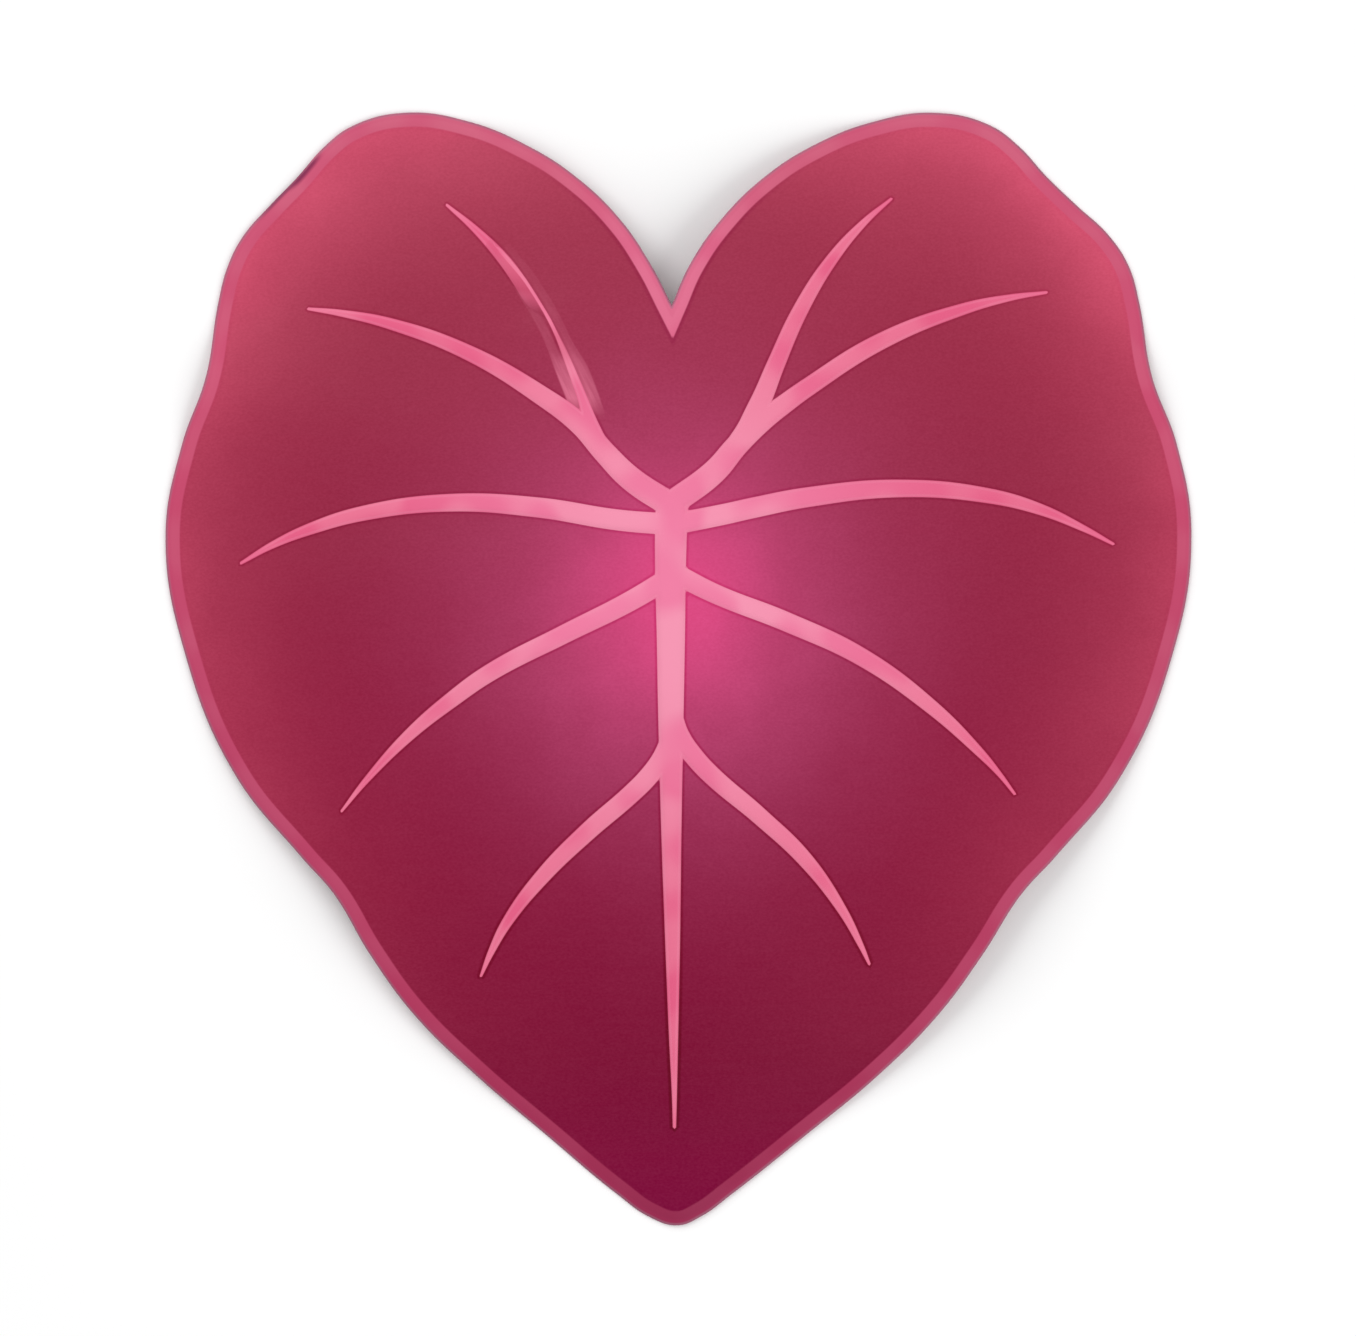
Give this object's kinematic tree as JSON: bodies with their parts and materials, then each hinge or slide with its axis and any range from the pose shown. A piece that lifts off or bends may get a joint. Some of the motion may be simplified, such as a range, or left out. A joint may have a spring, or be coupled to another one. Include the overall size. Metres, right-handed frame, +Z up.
{
  "type": "taro leaf",
  "caption": "Heart-shaped taro leaf blade with two rounded lobes, a waved edge, raised branching veins and a short cut stalk stub under it, lying face up.",
  "frame": {"origin": "on the surface that the leaf lies on, under the middle of its outline's box", "axes": "+Z up, out of the leaf's upper face; +Y from the tip towards the two lobes; +X to the right with the leaf seen from above and its lobes at the top"},
  "size_m": [0.2304, 0.2498, 0.0155],
  "materials": {
    "leaf": "satin"
  },
  "bodies": {
    "root": {"leaf": "leaf"}
  },
  "joints": []
}
